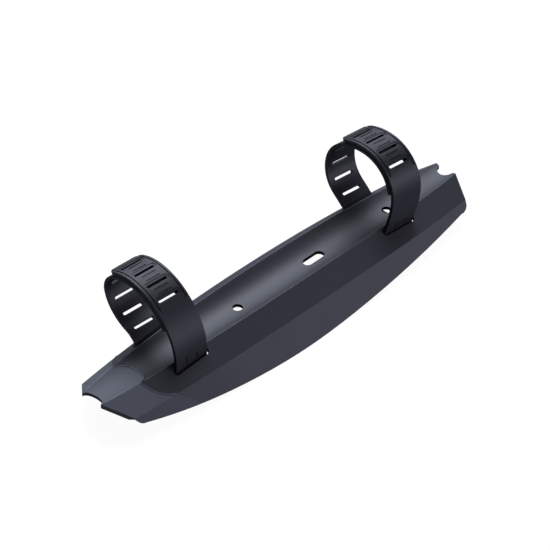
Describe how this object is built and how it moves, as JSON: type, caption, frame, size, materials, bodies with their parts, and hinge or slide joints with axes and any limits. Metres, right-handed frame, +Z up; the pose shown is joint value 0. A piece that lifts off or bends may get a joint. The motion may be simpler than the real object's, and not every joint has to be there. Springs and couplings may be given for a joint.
{
  "type": "bicycle mudguard",
  "caption": "Boat-shaped down-tube mudguard with a round trough, sharp crests, sloping skirts, a soft end cap and slotted rubber strap loops.",
  "frame": {"origin": "middle of the overall box at its floor: mid-length of the blade, at the height of the skirts' lowest edge", "axes": "+X along the blade, away from the end cap; +Y across it, towards the side that the loops' slack leans to; +Z up, out of the open trough"},
  "size_m": [0.2988, 0.0788, 0.0734],
  "materials": {
    "blade": "satin moulded plastic, near black",
    "cap": "soft grey elastomer, satin",
    "strap": "matt rubber, dark blue-grey"
  },
  "bodies": {
    "root": {"blade": "blade", "end_cap": "cap", "strap_rear": "strap", "strap_front": "strap"}
  },
  "joints": []
}
